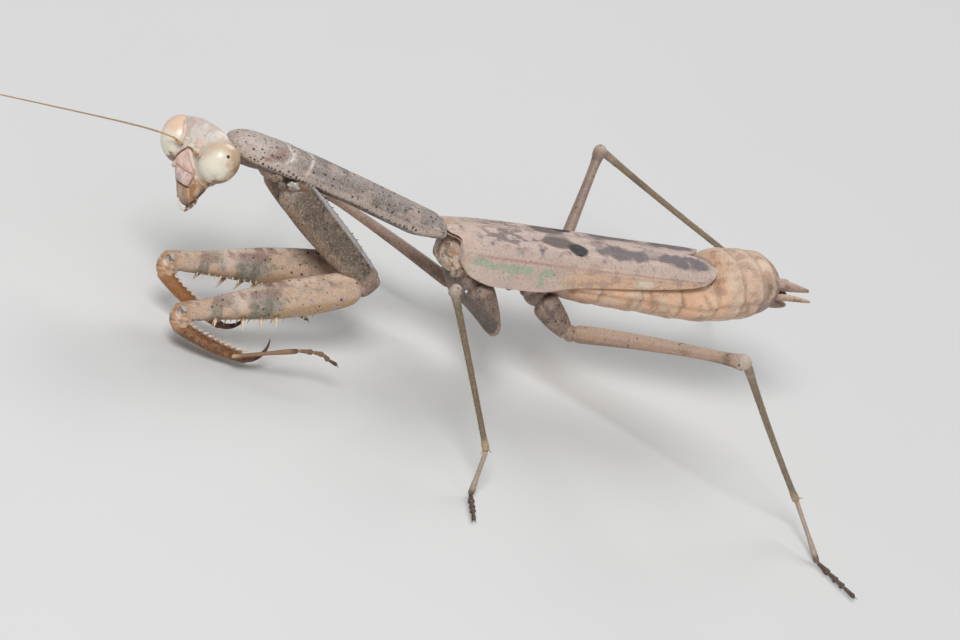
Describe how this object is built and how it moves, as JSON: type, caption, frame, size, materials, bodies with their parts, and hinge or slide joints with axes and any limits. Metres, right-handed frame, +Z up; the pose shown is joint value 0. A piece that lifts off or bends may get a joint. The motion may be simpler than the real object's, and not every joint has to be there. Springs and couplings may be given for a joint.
{
  "type": "praying mantis figure",
  "caption": "Life-size slender praying mantis standing on its walking legs, spined catching legs folded under a long thorax, head turned, short wings over the abdomen.",
  "frame": {"origin": "on the floor, under the middle of the animal's bounding box; the feet stand at z = 0", "axes": "+Z up from the floor, -Y the way the animal faces, +X its left side"},
  "size_m": [0.0488, 0.0834, 0.023],
  "materials": {
    "trunk_cuticle": "dry grey-pink cuticle, satin",
    "face_cuticle": "pale smooth cuticle, satin",
    "eye": "pale faceted eye, glossy",
    "mouth_cuticle": "brown hard cuticle, satin",
    "fore_leg_cuticle": "grey granular cuticle",
    "catching_femur": "cream and grey mottled cuticle",
    "catching_tibia": "orange-brown hard cuticle, satin",
    "walking_femur": "pinkish brown cuticle",
    "walking_tibia": "beige cuticle",
    "tarsus": "tan to dark brown cuticle",
    "tegmen": "leathery veined fore wing",
    "abdomen_cuticle": "orange-cream segmented cuticle, satin",
    "tail_plates": "pinkish brown cuticle",
    "antenna": "thin brown segmented feeler"
  },
  "bodies": {
    "root": {"abdomen": "abdomen_cuticle", "anal_plate": "tail_plates", "antenna_left": "antenna", "antenna_right": "antenna", "cercus_left": "tail_plates", "cercus_right": "tail_plates", "eye_left": "eye", "eye_right": "eye", "fore_coxa_left": "fore_leg_cuticle", "fore_coxa_right": "fore_leg_cuticle", "fore_femur_left": "catching_femur", "fore_femur_right": "catching_femur", "fore_tarsus_left": "tarsus", "fore_tarsus_right": "tarsus", "fore_tibia_left": "catching_tibia", "fore_tibia_right": "catching_tibia", "fore_trochanter_left": "fore_leg_cuticle", "fore_trochanter_right": "fore_leg_cuticle", "genital_plate": "tail_plates", "head": "face_cuticle", "hind_coxa_left": "trunk_cuticle", "hind_coxa_right": "trunk_cuticle", "hind_femur_left": "walking_femur", "hind_femur_right": "walking_femur", "hind_tarsus_left": "tarsus", "hind_tarsus_right": "tarsus", "hind_tibia_left": "walking_tibia", "hind_tibia_right": "walking_tibia", "mesothorax": "trunk_cuticle", "metathorax": "trunk_cuticle", "mid_coxa_left": "trunk_cuticle", "mid_coxa_right": "trunk_cuticle", "mid_femur_left": "walking_femur", "mid_femur_right": "walking_femur", "mid_tarsus_left": "tarsus", "mid_tarsus_right": "tarsus", "mid_tibia_left": "walking_tibia", "mid_tibia_right": "walking_tibia", "mouthparts": "mouth_cuticle", "neck": "trunk_cuticle", "pronotum": "trunk_cuticle", "tegmen_left": "tegmen", "tegmen_right": "tegmen"}
  },
  "joints": []
}
